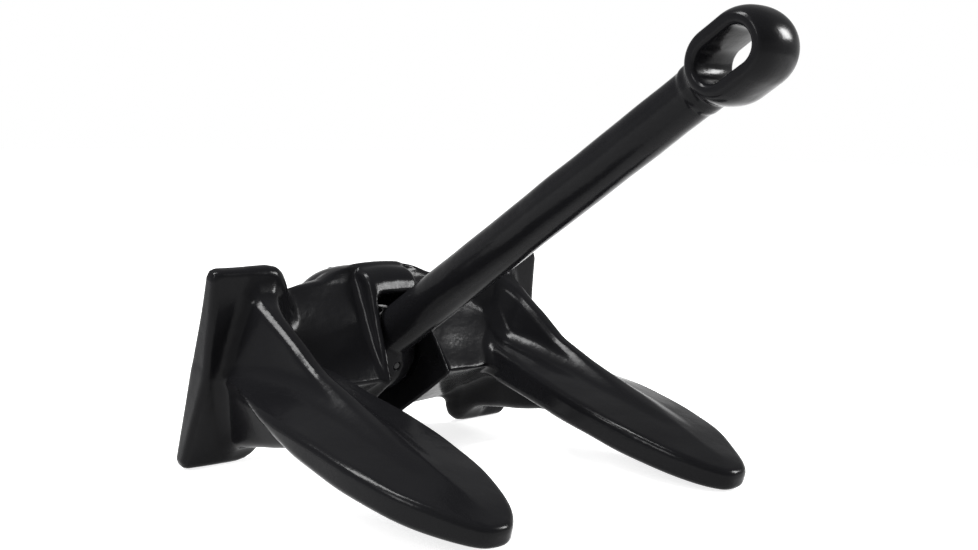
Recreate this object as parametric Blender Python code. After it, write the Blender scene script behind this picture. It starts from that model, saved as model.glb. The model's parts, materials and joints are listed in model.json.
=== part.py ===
"""Fluke anchor: one head with two flukes, and a round shank that tilts in it.

Metres, +Z up. The head is drawn in its own frame: the pivot is the origin, +Y points to the fluke
tips, +Z is square to the flukes and X runs along the pivot pin. The head is a casting parted at
Z = 0, so it is the same above and below that plane, and the same on both sides of X = 0.
At the end it is laid on the ground, on its two palms and its two fluke tips.
"""

import math

import bmesh
import bpy
from mathutils import Vector

# Driving sizes. U is half the height of a palm, and the anchor's other sizes are multiples of it.
U = 0.0435
COAT = 0.0010
GAP = 0.0003
TILT_AT_REST = math.radians(46.5)

# Shank and pivot, in U.
BALL_RADIUS = 0.48
SOCKET_RADIUS = 0.505
NECK_RADIUS = 0.262
ROD_BASE_RADIUS = 0.25
ROD_TIP_RADIUS = 0.222
COLLAR_RADIUS = 0.25
EYE_CENTRE = 5.75
EYE_HALF_THICKNESS = 0.28
EYE_HALF_LENGTH = 0.46
EYE_HALF_WIDTH = 0.35
EYE_SLOT_HALF_LENGTH = 0.305
EYE_SLOT_HALF_WIDTH = 0.17
PIN_RADIUS = 0.115
PIN_HALF_LENGTH = 0.66
POCKET_HALF_LENGTH = 0.69
LOCK_PIN_RADIUS = 0.035
LOCK_PIN_REACH = (0.05, 0.465)
LOCK_BORE_REACH = (0.03, 0.70)
LOCK_PIN_ANGLE = math.radians(-48.0)
KEEPER_RADIUS = 0.07
KEEPER_HALF_LENGTH = 0.78
KEEPER_X = 0.30
KEEPER_Y = -0.51

# Crown, in U: across X, where its back face is, and the heights of the top's back and front edges.
CROWN = (
    (0.00, -0.24, 0.905, 0.945),
    (0.30, -0.24, 0.875, 0.915),
    (0.55, -0.24, 0.825, 0.865),
    (0.80, -0.23, 0.780, 0.825),
    (1.00, -0.20, 0.760, 0.800),
    (1.25, -0.09, 0.745, 0.765),
    (1.70, -0.07, 0.735, 0.740),
)
RIDGE_Y = 0.79
PANEL_LEAN = 1.08

# Rim around the shank's slot and the arch over it, in U: up Z, the front face and the half width.
RIM = (
    (0.00, 0.855, 0.460),
    (0.35, 0.585, 0.405),
    (0.60, 0.385, 0.350),
    (0.80, 0.225, 0.330),
    (0.90, 0.125, 0.330),
    (0.95, 0.040, 0.325),
)
RIM_BACK = -0.15
RIM_EDGE = 0.02

# Drum behind the crown, in U: across X, its radius about the pivot.
DRUM = ((0.00, 0.955), (0.30, 0.950), (0.50, 0.915), (0.64, 0.845), (0.73, 0.740), (0.79, 0.600))

# Palm, in U: up Z, the inner and outer ends and the front face. Its back face leans less.
PALM = ((0.00, 1.26, 2.245, 0.241), (0.90, 1.31, 2.215, 0.122), (1.068, 1.48, 2.200, 0.100))
PALM_BACK = -0.058
PALM_BACK_LEAN = 0.015
PALM_EDGE_RADIUS = 0.05

# Fluke, in U: along Y, its inner edge, outer edge and half thickness.
FLUKE = (
    (0.10, 1.400, 1.880, 0.240),
    (0.45, 1.280, 2.035, 0.250),
    (0.72, 1.172, 2.145, 0.245),
    (1.05, 1.120, 2.250, 0.222),
    (1.45, 1.077, 2.325, 0.202),
    (2.00, 1.010, 2.355, 0.193),
    (2.60, 1.006, 2.325, 0.187),
    (3.20, 1.095, 2.210, 0.172),
    (3.65, 1.250, 1.985, 0.145),
    (3.87, 1.410, 1.820, 0.110),
    (3.945, 1.520, 1.700, 0.070),
)

# Fin on each fluke, in U: along Y, the height of its crest.
FIN_X = 1.69
FIN = (
    (0.00, 1.000),
    (0.08, 0.960),
    (0.20, 0.855),
    (0.44, 0.745),
    (0.66, 0.660),
    (1.00, 0.530),
    (1.16, 0.460),
    (1.60, 0.365),
    (2.00, 0.280),
    (2.60, 0.160),
)
FIN_HALF_WIDTHS = (0.24, 0.16, 0.10, 0.06)

# Slot for the shank, in U: up Z, how far back it reaches and its half width.
SLOT = (
    (0.00, 0.000, 0.420),
    (0.35, 0.000, 0.335),
    (0.60, 0.165, 0.285),
    (0.74, 0.300, 0.270),
    (0.785, 0.335, 0.200),
)

# How far the cutters reach past the head, in U.
AHEAD = 1.3
BEHIND = -1.3
ABOVE = 1.2


def clear_scene():
    for obj in list(bpy.data.objects):
        bpy.data.objects.remove(obj, do_unlink=True)


def material(name, colour, roughness, metallic):
    made = bpy.data.materials.new(name)
    made.use_nodes = True
    shader = made.node_tree.nodes["Principled BSDF"]
    shader.inputs["Base Color"].default_value = (*colour, 1.0)
    shader.inputs["Roughness"].default_value = roughness
    shader.inputs["Metallic"].default_value = metallic
    return made


def loft(rings):
    """A closed body through rings of equally many points, given in U, with flat ends."""
    bm = bmesh.new()
    loops = [[bm.verts.new(Vector(point) * U) for point in ring] for ring in rings]
    for near, far in zip(loops, loops[1:]):
        for i, vert in enumerate(near):
            j = (i + 1) % len(near)
            bm.faces.new((vert, near[j], far[j], far[i]))
    bm.faces.new(loops[0])
    bm.faces.new(loops[-1])
    bmesh.ops.recalc_face_normals(bm, faces=bm.faces)
    return bm


def both_ways(stations):
    """Stations from the middle outwards, repeated on the minus side: the first value changes sign."""
    mirrored = [(-first, *rest) for first, *rest in reversed(stations) if first > 0]
    return mirrored + list(stations)


def mirrored_in_z(half):
    """A ring whose lower half repeats its upper half. The first and last points lie at Z = 0."""
    return half + [(x, y, -z) for x, y, z in reversed(half[1:-1])]


def lathe(profile, segments):
    """A body turned about Y, from its (y, radius) profile."""
    turns = [math.tau * i / segments for i in range(segments)]
    return loft([[(r * math.cos(a), y, r * math.sin(a)) for a in turns] for y, r in profile])


def rod(radius, start, end, segments=16):
    """A round bar between two points, all in U."""
    start, end = Vector(start), Vector(end)
    across = (end - start).to_track_quat("Z", "Y")
    turns = [math.tau * i / segments for i in range(segments)]
    ring = [across @ Vector((radius * math.cos(a), radius * math.sin(a), 0)) for a in turns]
    return loft([[start + point for point in ring], [end + point for point in ring]])


def sphere(radius):
    bm = bmesh.new()
    bmesh.ops.create_uvsphere(bm, u_segments=28, v_segments=14, radius=radius * U)
    return bm


def crown():
    """Two panels that lean back from the ridge on the parting plane, and a narrow top."""
    rings = []
    for x, behind, back, front in both_ways(CROWN):
        lip = RIDGE_Y - PANEL_LEAN * front
        half = [(x, RIDGE_Y - 0.01, 0), (x, RIDGE_Y - 0.04, 0.03)]
        half += [(x, RIDGE_Y - 0.015 - PANEL_LEAN * z, z) for z in (0.2, 0.5)]
        half += [(x, lip + 0.03, front - 0.03), (x, min(lip, 0) - 0.02, front)]
        half += [(x, min(behind, lip - 0.04), back), (x, min(behind, lip - 0.04), 0)]
        rings.append(mirrored_in_z(half))
    return loft(rings)


def rim():
    rings = []
    for z, front, half in both_ways(RIM):
        corners = ((half, RIM_BACK), (half, front - RIM_EDGE), (half - RIM_EDGE, front))
        corners += ((RIM_EDGE - half, front), (-half, front - RIM_EDGE), (-half, RIM_BACK))
        rings.append([(x, y, z) for x, y in corners])
    return loft(rings)


def drum():
    """The rear half of a barrel about the pivot, with its front buried in the crown."""
    rings = []
    for x, radius in both_ways(DRUM):
        turns = [math.radians(90 + 15 * i) for i in range(13)]
        ring = [(x, radius * math.cos(a), radius * math.sin(a)) for a in turns]
        rings.append(ring + [(x, 0.05, -0.94 * radius), (x, 0.05, 0.94 * radius)])
    return loft(rings)


def palm(side):
    rings = []
    for z, inner, outer, front in both_ways(PALM):
        back = PALM_BACK - PALM_BACK_LEAN * abs(z)
        corners = ((inner, back), (outer, back), (outer, front), (inner, front))
        rings.append([(side * x, y, z) for x, y in corners])
    bm = loft(rings)
    sharp = [edge for edge in bm.edges if edge.calc_face_angle() > math.radians(30)]
    bmesh.ops.bevel(bm, geom=sharp, offset=PALM_EDGE_RADIUS * U, segments=2, profile=0.5, affect="EDGES")
    return bm


def fluke(side):
    """A leaf-shaped blade with round edges."""
    rings = []
    for y, inner, outer, thick in FLUKE:
        edge = min(0.16, 0.35 * (outer - inner))
        middle = (inner + outer) / 2
        steps = ((inner, 0), (inner + 0.2 * edge, 0.62), (inner + edge, 0.96), (middle, 1))
        steps += ((outer - edge, 0.96), (outer - 0.2 * edge, 0.62), (outer, 0))
        rings.append(mirrored_in_z([(side * x, y, thick * share) for x, share in steps]))
    return loft(rings)


def fin(side):
    """The curved rib that runs down from the palm's corner along both faces of a fluke."""
    foot, waist, shoulder, crest = FIN_HALF_WIDTHS
    rings = []
    for y, height in FIN:
        steps = ((foot, 0), (waist, 0.55 * height), (shoulder, height - 0.05), (crest, height))
        half = [(FIN_X + x, y, z) for x, z in steps]
        half += [(FIN_X - x, y, z) for x, z in reversed(steps)]
        rings.append(mirrored_in_z([(side * x, y, z) for x, y, z in half]))
    return loft(rings)


def slot():
    """The space in front of the ball, where the shank tilts from its upper to its lower stop."""
    rings = []
    for z, back, half in both_ways(SLOT):
        rings.append([(-half, back, z), (half, back, z), (half, AHEAD, z), (-half, AHEAD, z)])
    return loft(rings)


def rear_opening():
    return rod(SOCKET_RADIUS, (0, 0, 0), (0, BEHIND, 0), segments=28)


def pin_pockets():
    """The two grooves that the pivot pin's ends turn in, open to the rear."""
    radius = PIN_RADIUS + GAP / U
    turns = [math.radians(-90 + 22.5 * i) for i in range(9)]
    outline = [(radius * math.cos(a), radius * math.sin(a)) for a in turns]
    outline += [(BEHIND, radius), (BEHIND, -radius)]
    return loft([[(x, y, z) for y, z in outline] for x in (-POCKET_HALF_LENGTH, POCKET_HALF_LENGTH)])


def shank_bar():
    """Ball, neck, tapering rod and the collar under the eye, turned about Y."""
    ball = [math.radians(a) for a in (172, 158, 144, 130, 116, 102, 88, 74, 60, 46, 36)]
    profile = [(BALL_RADIUS * math.cos(a), BALL_RADIUS * math.sin(a)) for a in ball]
    profile += [(0.44, NECK_RADIUS), (0.52, ROD_BASE_RADIUS), (5.18, ROD_TIP_RADIUS)]
    profile += [(5.24, 0.95 * COLLAR_RADIUS), (5.36, COLLAR_RADIUS)]
    return lathe(profile, 24)


def stadium(x, half_length, half_width):
    """A round-ended slot shape about the eye's centre, in the plane across X."""
    straight = half_length - half_width
    ring = []
    for end, first in ((straight, -90), (-straight, 90)):
        for i in range(9):
            a = math.radians(first + 22.5 * i)
            ring.append((x, EYE_CENTRE + end + half_width * math.cos(a), half_width * math.sin(a)))
    return ring


def eye_body():
    """A ring that is fullest in the middle and draws in towards its two flat faces."""
    rings = []
    for share, draw_in in ((0.0, 0.0), (0.45, 0.012), (0.77, 0.040), (1.0, 0.095)):
        rings.append((share * EYE_HALF_THICKNESS, EYE_HALF_LENGTH - draw_in, EYE_HALF_WIDTH - draw_in))
    return loft([stadium(*ring) for ring in both_ways(rings)])


def eye_slot():
    return loft([stadium(x, EYE_SLOT_HALF_LENGTH, EYE_SLOT_HALF_WIDTH) for x in (-EYE_HALF_WIDTH, EYE_HALF_WIDTH)])


def lock_point(distance):
    """A point on the lock pin's line, this far from the pivot."""
    return (0, distance * math.cos(LOCK_PIN_ANGLE), distance * math.sin(LOCK_PIN_ANGLE))


def solid(name, bm, inset=0.0):
    """An object from this body, with its surface drawn in by inset metres, or out if it is negative."""
    bmesh.ops.triangulate(bm, faces=bm.faces)
    bm.normal_update()
    moves = [vert.normal * vert.calc_shell_factor() * inset for vert in bm.verts]
    for vert, move in zip(bm.verts, moves):
        vert.co -= move
    mesh = bpy.data.meshes.new(name)
    bm.to_mesh(mesh)
    bm.free()
    obj = bpy.data.objects.new(name, mesh)
    bpy.context.scene.collection.objects.link(obj)
    return obj


def combine(target, others, operation):
    """Joins the others to target, or cuts them from it, and removes them."""
    for other in others:
        modifier = target.modifiers.new(other.name, "BOOLEAN")
        modifier.operation = operation
        # The exact solver loses the inner shell when one closed form is cut from inside another.
        modifier.solver = "MANIFOLD"
        modifier.object = other
    graph = bpy.context.evaluated_depsgraph_get()
    target.data = bpy.data.meshes.new_from_object(target.evaluated_get(graph))
    target.modifiers.clear()
    for other in others:
        bpy.data.objects.remove(other, do_unlink=True)


def head_form(name, inset):
    body = solid(name, crown(), inset)
    added = [solid("drum", drum(), inset), solid("rim", rim(), inset)]
    for side in (-1, 1):
        added.append(solid("palm", palm(side), inset))
        added.append(solid("fluke", fluke(side), inset))
        added.append(solid("fin", fin(side), inset))
    combine(body, added, "UNION")
    cut = [solid("slot", slot(), -inset)]
    cut.append(solid("socket", sphere(SOCKET_RADIUS), -inset))
    cut.append(solid("rear_opening", rear_opening(), -inset))
    combine(body, cut, "DIFFERENCE")
    return body


def shank_form(name, inset):
    body = solid(name, shank_bar(), inset)
    combine(body, [solid("eye_body", eye_body(), inset)], "UNION")
    combine(body, [solid("eye_slot", eye_slot(), -inset)], "DIFFERENCE")
    return body


def coat_over(name, form, cutters):
    """The skin around a form, open where the cutters pass through it."""
    coat = form(name, 0.0)
    combine(coat, [form("core", COAT)], "DIFFERENCE")
    combine(coat, cutters(), "DIFFERENCE")
    return coat


def casting_under(name, form, cutters):
    casting = form(name, COAT + GAP)
    combine(casting, cutters(), "DIFFERENCE")
    return casting


def head_cutters():
    made = [solid("pin_pockets", pin_pockets())]
    for side in (-1, 1):
        x = side * KEEPER_X
        bore = rod(KEEPER_RADIUS + GAP / U, (x, KEEPER_Y, -ABOVE), (x, KEEPER_Y, ABOVE))
        made.append(solid("keeper_bore", bore))
    return made


def lock_bore():
    return solid("lock_bore", rod(LOCK_PIN_RADIUS + GAP / U, *[lock_point(reach) for reach in LOCK_BORE_REACH], 12))


def shank_cutters():
    bore = rod(PIN_RADIUS + GAP / U, (-POCKET_HALF_LENGTH, 0, 0), (POCKET_HALF_LENGTH, 0, 0), 24)
    return [solid("pin_bore", bore), lock_bore()]


def pivot_pin():
    pin = solid("shank_pin", rod(PIN_RADIUS, (-PIN_HALF_LENGTH, 0, 0), (PIN_HALF_LENGTH, 0, 0), 24))
    combine(pin, [lock_bore()], "DIFFERENCE")
    return pin


def keeper(name, side):
    x = side * KEEPER_X
    ends = [(x, KEEPER_Y, z) for z in (-KEEPER_HALF_LENGTH, KEEPER_HALF_LENGTH)]
    return solid(name, rod(KEEPER_RADIUS, *ends))


def empty(name, parent=None):
    made = bpy.data.objects.new(name, None)
    made.parent = parent
    bpy.context.scene.collection.objects.link(made)
    return made


def finish(obj, look, parent):
    obj.data.materials.clear()
    obj.data.materials.append(look)
    obj.data.shade_smooth()
    obj.data.set_sharp_from_angle(angle=math.radians(35))
    obj.parent = parent


def ground_line(points):
    """The lean that puts the palms' lowest edge and the flukes' lowest edge on one level."""
    lean = 0.0
    for _ in range(6):
        level = [(z * math.cos(lean) - y * math.sin(lean), y, z) for _, y, z in points]
        low_palm = min(point for point in level if point[1] < U)
        low_tip = min(point for point in level if point[1] > U)
        lean = math.atan2(low_tip[2] - low_palm[2], low_tip[1] - low_palm[1])
    return lean


def lay_down(head_frame, head, others):
    """Leans the head until it rests on the ground, and centres the anchor over the origin."""
    head_frame.rotation_euler.x = -ground_line([vert.co for vert in head.data.vertices])
    bpy.context.view_layer.update()
    corners = [obj.matrix_world @ vert.co for obj in (head, *others) for vert in obj.data.vertices]
    middle = (min(point.y for point in corners) + max(point.y for point in corners)) / 2
    head_frame.location = (0, -middle, -min(point.z for point in corners))


def build():
    clear_scene()
    vinyl = material("black_vinyl", (0.012, 0.012, 0.013), 0.28, 0.0)
    iron = material("cast_iron", (0.13, 0.13, 0.13), 0.65, 0.9)
    steel = material("steel", (0.55, 0.55, 0.56), 0.35, 1.0)

    head_frame = empty("head_frame")
    shank_pivot = empty("shank_pivot", head_frame)
    shank_pivot.rotation_euler.x = TILT_AT_REST

    head_coat = coat_over("head_coat", head_form, head_cutters)
    finish(head_coat, vinyl, head_frame)
    finish(casting_under("head_casting", head_form, head_cutters), iron, head_frame)
    finish(keeper("keeper_pin_left", -1), steel, head_frame)
    finish(keeper("keeper_pin_right", 1), steel, head_frame)

    shank_coat = coat_over("shank_coat", shank_form, shank_cutters)
    finish(shank_coat, vinyl, shank_pivot)
    finish(casting_under("shank_casting", shank_form, shank_cutters), iron, shank_pivot)
    finish(pivot_pin(), steel, shank_pivot)
    lock_pin = rod(LOCK_PIN_RADIUS, *[lock_point(reach) for reach in LOCK_PIN_REACH], 12)
    finish(solid("lock_pin", lock_pin), steel, shank_pivot)

    lay_down(head_frame, head_coat, [shank_coat])


build()
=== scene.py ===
"""The looks of a vinyl-dipped fluke anchor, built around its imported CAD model.

Each casting is drawn as a field: negative inside, positive outside, and shaped by smooth unions and
cuts, which leave the soft fillets that a dip leaves. A surface net turns the field into a mesh.
Fields are in U, half the height of a palm. The head's frame has its origin at the pivot, +Y towards
the fluke tips, +Z square to the flukes and X along the pivot pin. The shank's frame is the head's,
turned about X until +Y runs along the shank.
"""

import json
import math

import bpy
import numpy as np
from mathutils import Matrix, Vector


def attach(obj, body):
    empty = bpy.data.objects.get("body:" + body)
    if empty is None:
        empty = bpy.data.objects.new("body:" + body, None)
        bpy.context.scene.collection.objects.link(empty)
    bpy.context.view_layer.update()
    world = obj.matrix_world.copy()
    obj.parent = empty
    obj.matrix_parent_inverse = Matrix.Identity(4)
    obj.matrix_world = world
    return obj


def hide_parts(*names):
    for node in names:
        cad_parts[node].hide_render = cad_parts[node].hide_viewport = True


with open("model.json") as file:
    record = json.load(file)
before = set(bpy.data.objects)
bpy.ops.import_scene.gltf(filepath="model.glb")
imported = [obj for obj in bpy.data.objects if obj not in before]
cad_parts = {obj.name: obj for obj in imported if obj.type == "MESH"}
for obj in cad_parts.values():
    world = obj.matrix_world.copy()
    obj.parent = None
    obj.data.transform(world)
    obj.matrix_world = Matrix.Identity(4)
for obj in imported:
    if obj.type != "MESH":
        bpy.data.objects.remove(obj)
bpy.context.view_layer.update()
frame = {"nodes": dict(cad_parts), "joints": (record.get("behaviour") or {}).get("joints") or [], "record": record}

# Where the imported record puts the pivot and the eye. From these follow the size of U and how far the
# head leans forward, because the shank rests at its upper stop.
PIVOT = Vector(frame["joints"][0]["pos_m"])
EYE = next(Vector(m["pos_m"]) for m in frame["record"]["mounts"] if m["name"] == "rode_eye")
EYE_CENTRE = 5.75
U = (EYE - PIVOT).length / EYE_CENTRE
SHANK_RISE = math.atan2(EYE.z - PIVOT.z, EYE.y - PIVOT.y)
SHANK_TO_FLUKES = math.radians(46.5)
LEAN = SHANK_TO_FLUKES - SHANK_RISE

HEAD_FRAME = Matrix.Translation(PIVOT) @ Matrix.Rotation(-LEAN, 4, "X") @ Matrix.Scale(U, 4)
SHANK_FRAME = Matrix.Translation(PIVOT) @ Matrix.Rotation(SHANK_RISE, 4, "X") @ Matrix.Scale(U, 4)

# The size of a cell of the surface nets, in U.
HEAD_STEP = 0.023
SHANK_STEP = 0.019


# ---- Fields ----------------------------------------------------------------------------------


def join(a, b, radius):
    """The union of two fields, with a fillet of about this radius where they meet."""
    near = np.maximum(radius - a, 0) ** 2 + np.maximum(radius - b, 0) ** 2
    return np.maximum(radius, np.minimum(a, b)) - np.sqrt(near)


def common(a, b, radius):
    """What two fields share, with its edge rounded to about this radius."""
    return -join(-a, -b, radius)


def cut(a, b, radius):
    """a without b, with the new edge rounded."""
    return common(a, -b, radius)


def soft_size(value, softness):
    """The size of a value, rounded off near zero, so that mirrored halves meet without a crease."""
    return np.sqrt(value * value + softness)


def curve(stations, at):
    """A smooth curve through (position, value) stations, read at each value of at."""
    x, y = (np.array(column, float) for column in zip(*stations))
    slope = np.gradient(y, x)
    i = np.clip(np.searchsorted(x, at) - 1, 0, len(x) - 2)
    run = x[i + 1] - x[i]
    t = np.clip((at - x[i]) / run, 0, 1)
    left = y[i] * (1 + 2 * t) + slope[i] * run * t
    right = y[i + 1] * (3 - 2 * t) - slope[i + 1] * run * (1 - t)
    return left * (1 - t) ** 2 + right * t**2


def smooth_outline(points, per_span=8):
    """Points along a closed Catmull-Rom curve through the given ones."""
    points = np.array(points, float)
    made = []
    for i in range(len(points)):
        a, b, c, d = (points[(i + k) % len(points)] for k in (-1, 0, 1, 2))
        for t in np.arange(per_span) / per_span:
            bend = (2 * a - 5 * b + 4 * c - d) * t**2 + (3 * b - a - 3 * c + d) * t**3
            made.append(0.5 * (2 * b + (c - a) * t + bend))
    return np.array(made)


def outline_field(points, x, y):
    """Signed distance to a closed outline in a plane."""
    shape = np.broadcast(x, y).shape
    nearest = np.full(shape, np.inf)
    inside = np.zeros(shape, bool)
    for (ax, ay), (bx, by) in zip(points, np.roll(points, -1, axis=0)):
        ex, ey = bx - ax, by - ay
        t = np.clip(((x - ax) * ex + (y - ay) * ey) / (ex * ex + ey * ey), 0, 1)
        nearest = np.minimum(nearest, (x - ax - t * ex) ** 2 + (y - ay - t * ey) ** 2)
        if ey != 0:
            inside ^= ((ay > y) != (by > y)) & (x < ax + (y - ay) * ex / ey)
    return np.where(inside, -1, 1) * np.sqrt(nearest)


# ---- The head --------------------------------------------------------------------------------

# How far the two mirrored halves are softened where they meet.
MIDDLE_SOFTNESS = 0.0004
PARTING_SOFTNESS = 0.0002

# Crown. The tables are (position, value) stations, each read as a smooth curve. Across X: the height
# of the top and where the back face is.
PANEL_TOP = (
    (0.00, 0.900), (0.30, 0.885), (0.55, 0.858), (0.80, 0.825), (1.00, 0.800), (1.25, 0.765), (1.70, 0.74),
)
CROWN_BACK = ((0.00, -0.24), (0.90, -0.23), (1.20, -0.12), (1.30, -0.075), (1.70, -0.07))
CROWN_HALF_WIDTH = 1.72
RIDGE_Y = 0.79
PANEL_LEAN = 1.08
PANEL_HOLLOW = 0.018
PANEL_HOLLOW_HEIGHT = 0.8
TOP_FALL = 0.30
TOP_FALL_START = -0.08

# Rim around the shank's slot, up Z.
RIM_Y = 0.865
RIM_LEAN = 0.80
RIM_HALF_WIDTH = (
    (0.00, 0.430), (0.10, 0.425), (0.35, 0.395), (0.60, 0.350), (0.80, 0.330), (1.00, 0.330),
)
RIM_TOP = 0.955
RIM_TOP_CURVE = 0.20
RIM_BACK = -0.21

# Drum behind the crown.
DRUM_HALF_WIDTH = 0.80
DRUM_RADIUS = 0.955
DRUM_FRONT = -0.14

# Palm: its outline in X and Z, and its front and back faces.
PALM_OUTLINE = (
    (1.26, -0.30), (1.29, 0.72), (1.33, 0.87), (1.39, 0.98), (1.46, 1.045), (1.55, 1.068),
    (2.12, 1.068), (2.18, 1.045), (2.208, 0.98), (2.245, 0.00), (2.245, -0.30),
)
PALM_FRONT = 0.245
PALM_FRONT_LEAN = 0.137
PALM_BACK = -0.066
PALM_BACK_LEAN = 0.015
PALM_OVERLAP = 0.25

# Fluke: its outline in X and Y, and along Y the half thickness at its middle and at each edge.
FLUKE_OUTLINE = (
    (1.45, 0.10), (1.28, 0.45), (1.172, 0.72), (1.12, 1.05), (1.077, 1.45), (1.01, 2.00),
    (1.006, 2.60), (1.095, 3.20), (1.25, 3.65), (1.43, 3.89), (1.60, 3.948), (1.80, 3.89),
    (2.00, 3.63), (2.215, 3.19), (2.325, 2.60), (2.355, 1.98), (2.316, 1.36), (2.212, 0.90),
    (2.03, 0.43), (1.87, 0.10),
)
FLUKE_MIDDLE = (
    (0.1, 0.26), (0.7, 0.255), (1.4, 0.240), (2.0, 0.230), (2.9, 0.210), (3.5, 0.180), (3.95, 0.14),
)
FLUKE_INNER_EDGE = (
    (0.1, 0.20), (0.7, 0.19), (1.4, 0.160), (2.0, 0.145), (2.9, 0.135), (3.5, 0.125), (3.95, 0.105),
)
FLUKE_OUTER_EDGE = (
    (0.1, 0.00), (0.5, 0.00), (0.9, 0.015), (1.4, 0.055),
    (2.0, 0.110), (2.9, 0.130), (3.5, 0.125), (3.95, 0.105),
)
FLUKE_SLOPE_WIDTH = 0.6
INNER_EDGE_ENDS = 1.3
OUTER_EDGE_STARTS = 1.9

# Fin: along Y, the height of its crest. Its flanks spread towards its foot, and less so towards the
# tips, and its inner shoulder widens into the palm's corner.
FIN_CREST = (
    (-0.10, 1.02), (0.06, 0.985), (0.12, 0.93), (0.20, 0.855), (0.44, 0.745), (0.66, 0.66),
    (0.80, 0.61), (1.00, 0.53), (1.16, 0.46), (1.60, 0.365), (2.00, 0.28), (2.50, 0.18),
    (3.00, 0.07), (3.40, -0.10), (3.80, -0.40),
)
FIN_X = 1.69
FIN_HALF_WIDTH = 0.095
FIN_SPREAD = 0.34
FIN_SPREAD_AT_PALM = 1.1
FIN_SPREAD_LENGTH = 1.8
FIN_CREST_FALL = 0.6
SHOULDER_WIDTH = 0.24
SHOULDER_LENGTH = 0.60

# The twist that this casting came out of its mould with.
TWIST_START = 0.2
TWIST_RISE = 0.0525
TWIST_DROOP = 0.011
TWIST_ROLL = 0.022
PALM_FLARE = 0.068

# Slot for the shank, up Z, with its foot a little off the middle.
SLOT_HALF_WIDTH = (
    (0.00, 0.385), (0.10, 0.375), (0.35, 0.330), (0.60, 0.285), (0.75, 0.270), (0.85, 0.26),
)
SLOT_TOP = 0.80
SLOT_ROOF = 0.52
SLOT_BACK = -0.02
SLOT_DRIFT = 0.03
SLOT_DRIFT_HEIGHT = 0.5

# Room for the ball, for the ends of the shank pin and for the keeper pins.
SOCKET_RADIUS = 0.505
POCKET_HALF_LENGTH = 0.69
POCKET_RADIUS = 0.122
KEEPER_X = 0.30
KEEPER_Y = -0.51
KEEPER_BORE_RADIUS = 0.077

HEAD_UNEVENNESS = 0.0035


def wedge_field(ax, y, az):
    """The crown's two panels, which lean back from the ridge on the parting plane."""
    hollow = PANEL_HOLLOW * np.sin(np.clip(az / PANEL_HOLLOW_HEIGHT, 0, 1) * math.pi)
    front = (y - RIDGE_Y + PANEL_LEAN * az + hollow) / math.hypot(1, PANEL_LEAN)
    top = az - curve(PANEL_TOP, ax) - TOP_FALL * np.minimum(y - TOP_FALL_START, 0)
    body = common(front, top, 0.035)
    return common(common(body, curve(CROWN_BACK, ax) - y, 0.05), ax - CROWN_HALF_WIDTH, 0.02)


def rim_field(ax, y, az):
    """The thin rim around the shank's slot, which stands proud of the panels and arches over the slot."""
    front = (y - RIM_Y + RIM_LEAN * az) / math.hypot(1, RIM_LEAN)
    top = az - RIM_TOP + RIM_TOP_CURVE * ax * ax
    rim = common(front, top, 0.10)
    return common(common(rim, ax - curve(RIM_HALF_WIDTH, az), 0.06), RIM_BACK - y, 0.05)


def drum_field(ax, y, z):
    """The rear half of a barrel about the pivot, full at its ends."""
    turn = np.sqrt(y * y + z * z)
    reach = ((ax / DRUM_HALF_WIDTH) ** 4 + (turn / DRUM_RADIUS) ** 4) ** 0.25 - 1
    return common(0.9 * reach, y - DRUM_FRONT, 0.02)


def palm_field(ax, y, az):
    """An upright plate whose front face leans back."""
    face = outline_field(PALM_OUTLINE, ax, az)
    face = np.maximum(face, -az - PALM_OVERLAP)
    flat = common(y - PALM_FRONT + PALM_FRONT_LEAN * az, PALM_BACK - PALM_BACK_LEAN * az - y, 0.055)
    return common(face, flat, 0.065)


def fluke_field(ax, y, az):
    """A leaf-shaped blade whose faces rise from its edges to a low ridge along its middle."""
    edge = outline_field(smooth_outline(FLUKE_OUTLINE), ax, y)
    outer = np.clip((ax - INNER_EDGE_ENDS) / (OUTER_EDGE_STARTS - INNER_EDGE_ENDS), 0, 1)
    rim = curve(FLUKE_INNER_EDGE, y) * (1 - outer) + curve(FLUKE_OUTER_EDGE, y) * outer
    inwards = np.clip(-edge / FLUKE_SLOPE_WIDTH, -0.2, 1)
    face = rim + (curve(FLUKE_MIDDLE, y) - rim) * inwards
    return common(az - face, edge, 0.07)


def fin_field(ax, y, az):
    """A web from palm to fluke whose flanks spread towards its foot."""
    crest = curve(FIN_CREST, y)
    spread = FIN_SPREAD * np.clip(FIN_SPREAD_AT_PALM - y / FIN_SPREAD_LENGTH, 0, 1)
    half_width = FIN_HALF_WIDTH + spread * np.maximum(crest - az, 0)
    shoulder = SHOULDER_WIDTH * np.maximum(1 - y / SHOULDER_LENGTH, 0) ** 2 * (ax < FIN_X)
    flank = np.abs(ax - FIN_X) - half_width - shoulder
    rib = common(flank, (az - crest) / math.hypot(1, FIN_CREST_FALL), 0.075)
    return common(rib, -y, 0.05)


def wings_field(x, y, z):
    """Palms, flukes and fins. Like many a casting, this one came out of its mould slightly twisted."""
    ax = soft_size(x, MIDDLE_SOFTNESS)
    out = np.maximum(y - TWIST_START, 0)
    lift = (TWIST_RISE - TWIST_DROOP * out) * out + TWIST_ROLL * x * np.minimum(out, 1)
    az = soft_size(z - lift, PARTING_SOFTNESS)
    wings = join(fluke_field(ax, y, az), fin_field(ax, y, az), 0.16)
    flare = PALM_FLARE * np.clip(-z, -0.1, 1) * (x > 0)
    palms = palm_field(ax - flare, y, soft_size(z, PARTING_SOFTNESS))
    return join(wings, palms, 0.10)


def slot_field(ax, y, az):
    """The space that the shank tilts in, with its roof sloping down towards the ball."""
    roof = np.maximum(az - SLOT_TOP, (az - y - SLOT_ROOF) / math.sqrt(2))
    return common(common(ax - curve(SLOT_HALF_WIDTH, az), roof, 0.10), SLOT_BACK - y, 0.02)


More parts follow.
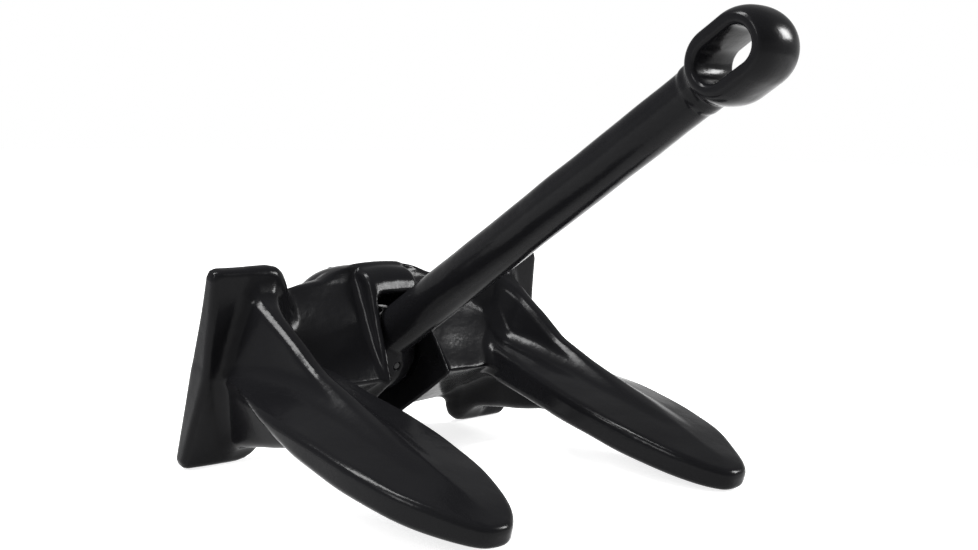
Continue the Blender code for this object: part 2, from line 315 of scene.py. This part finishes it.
def head_field(x, y, z):
    ax, az = soft_size(x, MIDDLE_SOFTNESS), soft_size(z, PARTING_SOFTNESS)
    slot_ax = np.abs(x + SLOT_DRIFT * np.maximum(1 - az / SLOT_DRIFT_HEIGHT, 0))
    body = join(wedge_field(ax, y, az), drum_field(ax, y, z), 0.08)
    body = join(body, rim_field(slot_ax, y, az), 0.07)
    wings = wings_field(x, y, z)
    body = join(body, wings, 0.12)
    body = cut(body, slot_field(slot_ax, y, az), 0.035)

    socket = np.sqrt(x * x + y * y + z * z) - SOCKET_RADIUS
    rear_opening = np.maximum(np.sqrt(x * x + z * z) - SOCKET_RADIUS, y)
    body = cut(body, np.minimum(socket, rear_opening), 0.04)
    groove = np.where(y > 0, np.sqrt(y * y + z * z), np.abs(z) + 0 * y) - POCKET_RADIUS
    body = cut(body, common(groove, ax - POCKET_HALF_LENGTH, 0.01), 0.012)
    keeper_bore = np.sqrt((ax - KEEPER_X) ** 2 + (y - KEEPER_Y) ** 2) - KEEPER_BORE_RADIUS
    return cut(body, keeper_bore, 0.012) + unevenness(x, y, z, HEAD_UNEVENNESS)


# ---- The shank -------------------------------------------------------------------------------


BALL_RADIUS = 0.48
ROD_BASE_RADIUS = 0.254
ROD_TIP_RADIUS = 0.225
ROD_BASE = 0.5
ROD_LENGTH = 4.7
ROD_END = 5.4
COLLAR_Y = 5.29
COLLAR_RADIUS = 0.235
COLLAR_HALF_LENGTH = 0.07

# Eye: a ring drawn out along the shank, with flat faces, and a slot that is narrowest inside.
EYE_STRETCH = 0.11
EYE_RADIUS = 0.35
EYE_SIDE = 0.39
EYE_FULLNESS = 2.4
EYE_FACE = 0.28
EYE_SOFTNESS = 0.0001
EYE_SLOT_STRETCH = 0.135
EYE_SLOT_RADIUS = 0.17
EYE_SLOT_WAIST = 0.022

LOCK_HOLE_ANGLE = math.radians(-48)
LOCK_HOLE_RADIUS = 0.046
PIN_HOLE_RADIUS = 0.121

SHANK_UNEVENNESS = 0.002
SHANK_WAVES_START = 7


def shank_field(x, y, z):
    r = np.sqrt(x * x + z * z)
    ball = np.sqrt(r * r + y * y) - BALL_RADIUS
    taper = np.clip((y - ROD_BASE) / ROD_LENGTH, 0, 1)
    radius = ROD_BASE_RADIUS - (ROD_BASE_RADIUS - ROD_TIP_RADIUS) * taper
    rod = np.maximum(np.maximum(r - radius, -y), y - ROD_END)
    body = join(ball, rod, 0.08)
    collar = common(r - COLLAR_RADIUS, np.abs(y - COLLAR_Y) - COLLAR_HALF_LENGTH, 0.04)
    body = join(body, collar, 0.03)
    body = join(body, eye_field(x, y, z), 0.04)
    body = cut(body, eye_slot_field(x, y, z), 0.035)

    a = LOCK_HOLE_ANGLE
    off_axis = np.sqrt(x * x + (y * math.sin(a) - z * math.cos(a)) ** 2)
    lock_hole = np.maximum(off_axis - LOCK_HOLE_RADIUS, -(y * math.cos(a) + z * math.sin(a)))
    body = cut(body, lock_hole, 0.008)
    pin_hole = np.sqrt(y * y + z * z) - PIN_HOLE_RADIUS
    return cut(body, pin_hole, 0.01) + unevenness(x, y + SHANK_WAVES_START, z, SHANK_UNEVENNESS)


def eye_field(x, y, z):
    """A ring whose flat sides are crisp and whose outer edge is full and round."""
    along = np.maximum(np.abs(y - EYE_CENTRE) - EYE_STRETCH, 0)
    r = np.sqrt(along**2 + z * z)
    ax = soft_size(x, EYE_SOFTNESS)
    full = ((r / EYE_RADIUS) ** EYE_FULLNESS + (ax / EYE_SIDE) ** EYE_FULLNESS) ** (1 / EYE_FULLNESS) - 1
    return common(EYE_RADIUS * full, ax - EYE_FACE, 0.02)


def eye_slot_field(x, y, z):
    along = np.maximum(np.abs(y - EYE_CENTRE) - EYE_SLOT_STRETCH, 0)
    waist = EYE_SLOT_WAIST * np.maximum(1 - (x / EYE_FACE) ** 2, 0)
    return np.sqrt(along**2 + z * z) - EYE_SLOT_RADIUS + waist


WAVES = ((5.1, 3.3, 4.2), (-3.7, 6.3, 2.9), (8.3, -4.4, 7.1), (2.6, 9.7, -6.2))
WAVE_DELAY = 1.7


def unevenness(x, y, z, depth):
    """The slight waviness of a dipped casting: a few crossing waves."""
    waves = 0
    for i, (kx, ky, kz) in enumerate(WAVES):
        waves = waves + np.sin(kx * x + ky * y + kz * z + WAVE_DELAY * i)
    return depth * waves / 2


# ---- From fields to meshes -------------------------------------------------------------------

CORNERS = [(i, j, k) for i in (0, 1) for j in (0, 1) for k in (0, 1)]


def surface_net(field, low, high, step):
    """Points and quads around the field's zero level: one point in each cell that it crosses."""
    axes = [np.arange(a, b + step, step) for a, b in zip(low, high)]
    x, y, z = np.ix_(*axes)
    grid = np.broadcast_to(field(x, y, z), [len(axis) for axis in axes])
    inside = grid < 0
    size = np.array(grid.shape) - 1

    def corner(values, c):
        return values[c[0] : c[0] + size[0], c[1] : c[1] + size[1], c[2] : c[2] + size[2]]

    count = sum(corner(inside, c).astype(np.int8) for c in CORNERS)
    cells = np.argwhere((count > 0) & (count < 8))
    number = np.full(size, -1, np.int64)
    number[tuple(cells.T)] = np.arange(len(cells))

    total, hits = np.zeros((len(cells), 3)), np.zeros((len(cells), 1))
    for c in CORNERS:
        for axis in range(3):
            if c[axis]:
                continue
            end = np.array(c)
            end[axis] = 1
            a = grid[tuple((cells + c).T)]
            b = grid[tuple((cells + end).T)]
            crossed = ((a < 0) != (b < 0))[:, None]
            share = np.where(crossed[:, 0], a / np.where(a == b, 1, a - b), 0)
            point = np.array(c, float) + share[:, None] * (end - np.array(c))
            total += np.where(crossed, point, 0)
            hits += crossed
    points = np.array(low) + (cells + total / hits) * step

    quads = []
    for axis in range(3):
        ahead = [slice(None)] * 3
        ahead[axis] = slice(1, None)
        behind = [slice(None)] * 3
        behind[axis] = slice(None, -1)
        crossed = inside[tuple(ahead)] != inside[tuple(behind)]
        edges = np.argwhere(crossed)
        u, v = (axis + 1) % 3, (axis + 2) % 3
        edges = edges[((edges[:, [u, v]] > 0) & (edges[:, [u, v]] < size[[u, v]])).all(axis=1)]
        step_u, step_v = np.zeros(3, int), np.zeros(3, int)
        step_u[u], step_v[v] = 1, 1
        around = [edges - step_u - step_v, edges - step_v, edges, edges - step_u]
        quad = np.stack([number[tuple(cell.T)] for cell in around], axis=1)
        flip = ~inside[tuple(edges.T)]
        quad[flip] = quad[flip][:, ::-1]
        quads.append(quad)
    return points, np.concatenate(quads)


def settle(field, points, step, rounds=3):
    """Moves each point along the slope of the field until it lies on the surface."""
    reach = step * 0.25
    for _ in range(rounds):
        value = field(*points.T)
        slope = np.stack(
            [
                field(*(points + reach * side).T) - field(*(points - reach * side).T)
                for side in np.eye(3)
            ],
            axis=1,
        ) / (2 * reach)
        steep = np.maximum((slope**2).sum(axis=1), 0.05)
        move = slope * (value / steep)[:, None]
        points = points - np.clip(move, -0.5 * step, 0.5 * step)
    return points


def cast(name, field, low, high, step, place):
    """The object whose surface is the field's zero level."""
    points, quads = surface_net(field, low, high, step)
    points = settle(field, points, step)
    mesh = bpy.data.meshes.new(name)
    mesh.from_pydata(points.tolist(), [], quads.tolist())
    mesh.transform(place)
    mesh.shade_smooth()
    mesh.validate()
    piece = bpy.data.objects.new(name, mesh)
    bpy.context.scene.collection.objects.link(piece)
    return piece


# ---- Materials -------------------------------------------------------------------------------


def nodes_of(name):
    made = bpy.data.materials.new(name)
    made.use_nodes = True
    tree = made.node_tree
    return made, tree, tree.nodes["Principled BSDF"]


def noise(tree, scale, detail, coordinates):
    node = tree.nodes.new("ShaderNodeTexNoise")
    node.inputs["Scale"].default_value = scale
    node.inputs["Detail"].default_value = detail
    tree.links.new(coordinates, node.inputs["Vector"])
    return node.outputs["Fac"]


def bump(tree, height, distance, strength, under=None):
    node = tree.nodes.new("ShaderNodeBump")
    node.inputs["Distance"].default_value = distance
    node.inputs["Strength"].default_value = strength
    tree.links.new(height, node.inputs["Height"])
    if under is not None:
        tree.links.new(under, node.inputs["Normal"])
    return node.outputs["Normal"]


def vinyl():
    """Black plastisol: glossy and soft, with the casting's grain showing faintly through it."""
    made, tree, shader = nodes_of("black_vinyl")
    where = tree.nodes.new("ShaderNodeTexCoord").outputs["Object"]
    shader.inputs["Base Color"].default_value = (0.004, 0.004, 0.0045, 1)
    shader.inputs["Specular IOR Level"].default_value = 0.06
    broad = noise(tree, 55, 2, where)
    fine = noise(tree, 420, 3, where)
    rough = tree.nodes.new("ShaderNodeMapRange")
    rough.inputs["To Min"].default_value = 0.15
    rough.inputs["To Max"].default_value = 0.24
    tree.links.new(broad, rough.inputs["Value"])
    tree.links.new(rough.outputs["Result"], shader.inputs["Roughness"])
    normal = bump(tree, broad, 0.0010, 0.35)
    normal = bump(tree, fine, 0.00012, 0.5, normal)
    tree.links.new(normal, shader.inputs["Normal"])
    return made


def shade_darkened_steel():
    """The turned pins, which sit deep in their bores. Their base colour is painted shade, far darker than steel,
    so the pin ends read as dark holes.
    """
    made, tree, shader = nodes_of("pin_steel_painted_shade")
    where = tree.nodes.new("ShaderNodeTexCoord").outputs["Object"]
    # Painted shade: this near-black base colour darkens the pins as if shaded in their bores; bare steel is much
    # lighter.
    shader.inputs["Base Color"].default_value = (0.035, 0.035, 0.035, 1)
    shader.inputs["Metallic"].default_value = 1.0
    rough = tree.nodes.new("ShaderNodeMapRange")
    rough.inputs["To Min"].default_value = 0.25
    rough.inputs["To Max"].default_value = 0.50
    tree.links.new(noise(tree, 600, 3, where), rough.inputs["Value"])
    tree.links.new(rough.outputs["Result"], shader.inputs["Roughness"])
    return made


# ---- Stage, light and camera -----------------------------------------------------------------


def point_at(obj, target):
    obj.rotation_euler = (Vector(target) - obj.location).to_track_quat("-Z", "Y").to_euler()


def softbox(name, place, target, width, height, power):
    light = bpy.data.lights.new(name, "AREA")
    light.shape = "RECTANGLE"
    light.size = width
    light.size_y = height
    light.energy = power
    lamp = bpy.data.objects.new(name, light)
    bpy.context.scene.collection.objects.link(lamp)
    lamp.location = place
    point_at(lamp, target)


FLOOR_HALF_SIZE = 6
FLOOR_DROP = 0.0004

# The surroundings are white up to the first height, a little above the horizon, and dim above the second.
WHITE_UP_TO = 0.14
DIM_ABOVE = 0.34
DIM_STRENGTH = 0.38


def studio():
    """A white floor that runs into white surroundings, and three softboxes."""
    floor_mesh = bpy.data.meshes.new("floor")
    corners = [(FLOOR_HALF_SIZE * x, FLOOR_HALF_SIZE * y, 0) for x, y in ((-1, -1), (1, -1), (1, 1), (-1, 1))]
    floor_mesh.from_pydata(corners, [], [(0, 1, 2, 3)])
    floor = bpy.data.objects.new("floor", floor_mesh)
    bpy.context.scene.collection.objects.link(floor)
    floor.location.z = -FLOOR_DROP
    made, tree, shader = nodes_of("floor_white")
    shader.inputs["Base Color"].default_value = (0.5, 0.5, 0.5, 1)
    shader.inputs["Roughness"].default_value = 0.9
    shader.inputs["Emission Color"].default_value = (1, 1, 1, 1)
    shader.inputs["Emission Strength"].default_value = 0.80
    floor_mesh.materials.append(made)

    world = bpy.data.worlds.new("studio")
    bpy.context.scene.world = world
    world.use_nodes = True
    tree = world.node_tree
    where = tree.nodes.new("ShaderNodeTexCoord").outputs["Generated"]
    height = tree.nodes.new("ShaderNodeSeparateXYZ")
    tree.links.new(where, height.inputs["Vector"])
    fall = tree.nodes.new("ShaderNodeMapRange")
    fall.interpolation_type = "SMOOTHSTEP"
    fall.inputs["From Min"].default_value = WHITE_UP_TO
    fall.inputs["From Max"].default_value = DIM_ABOVE
    fall.inputs["To Min"].default_value = 1.0
    fall.inputs["To Max"].default_value = DIM_STRENGTH
    tree.links.new(height.outputs["Z"], fall.inputs["Value"])
    tree.links.new(fall.outputs["Result"], tree.nodes["Background"].inputs["Strength"])
    tree.nodes["Background"].inputs["Color"].default_value = (1, 1, 1, 1)

    target = (0, -0.02, 0.05)
    softbox("overhead", (0.64, -0.36, 1.45), target, 0.30, 1.1, 60)
    softbox("left", (1.3, 0.1, 0.9), target, 0.34, 0.45, 10)
    softbox("right", (-1.08, 0.78, 0.74), target, 0.28, 0.40, 24)
    bpy.context.scene.view_settings.view_transform = "Standard"


CAMERA_PLACE = (8.782, 10.440, 5.153)
CAMERA_AZIMUTH = math.radians(45.228)
CAMERA_ELEVATION = math.radians(16.594)
CAMERA_ROLL = math.radians(11.147)
FOCAL_LENGTH = 48.10


def camera():
    """The view is given in the head's frame: where the camera is, and the way back from what it sees."""
    lens = bpy.data.cameras.new("camera")
    lens.lens = FOCAL_LENGTH
    lens.sensor_width = 36
    lens.clip_start = 0.05
    made = bpy.data.objects.new("camera", lens)
    bpy.context.scene.collection.objects.link(made)
    flat = math.cos(CAMERA_ELEVATION)
    ahead = flat * math.sin(CAMERA_AZIMUTH)
    back = Vector((flat * math.cos(CAMERA_AZIMUTH), ahead, math.sin(CAMERA_ELEVATION)))
    right = (-back).cross(Vector((0, 0, 1))).normalized()
    up = right.cross(-back)
    turn = Matrix.Rotation(CAMERA_ROLL, 3, back)
    axes = Matrix((turn @ right, turn @ up, back)).transposed()
    head_turn = HEAD_FRAME.to_3x3() * (1 / U)
    made.matrix_world = Matrix.LocRotScale(
        HEAD_FRAME @ Vector(CAMERA_PLACE), (head_turn @ axes).to_quaternion(), None
    )
    bpy.context.scene.camera = made


# ---- Putting it together ---------------------------------------------------------------------


def build():
    """Both dipped castings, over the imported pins, which are carried over as they are."""
    skin = vinyl()
    head = cast("head", head_field, (-2.6, -1.2, -1.2), (2.6, 4.1, 1.2), HEAD_STEP, HEAD_FRAME)
    head.data.materials.append(skin)
    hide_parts("head_coat", "head_casting")
    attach(head, "head")

    shank = cast("shank", shank_field, (-0.6, -0.6, -0.6), (0.6, 6.4, 0.6), SHANK_STEP, SHANK_FRAME)
    shank.data.materials.append(skin)
    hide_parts("shank_coat", "shank_casting")
    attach(shank, "shank")

    # The pins take the steel whose colour is painted dark as shade in their bores.
    shade_darkened_metal = shade_darkened_steel()
    for name in ("shank_pin", "lock_pin", "keeper_pin_left", "keeper_pin_right"):
        node = frame["nodes"][name]
        node.data.materials.clear()
        node.data.materials.append(shade_darkened_metal)

    studio()
    camera()


build()
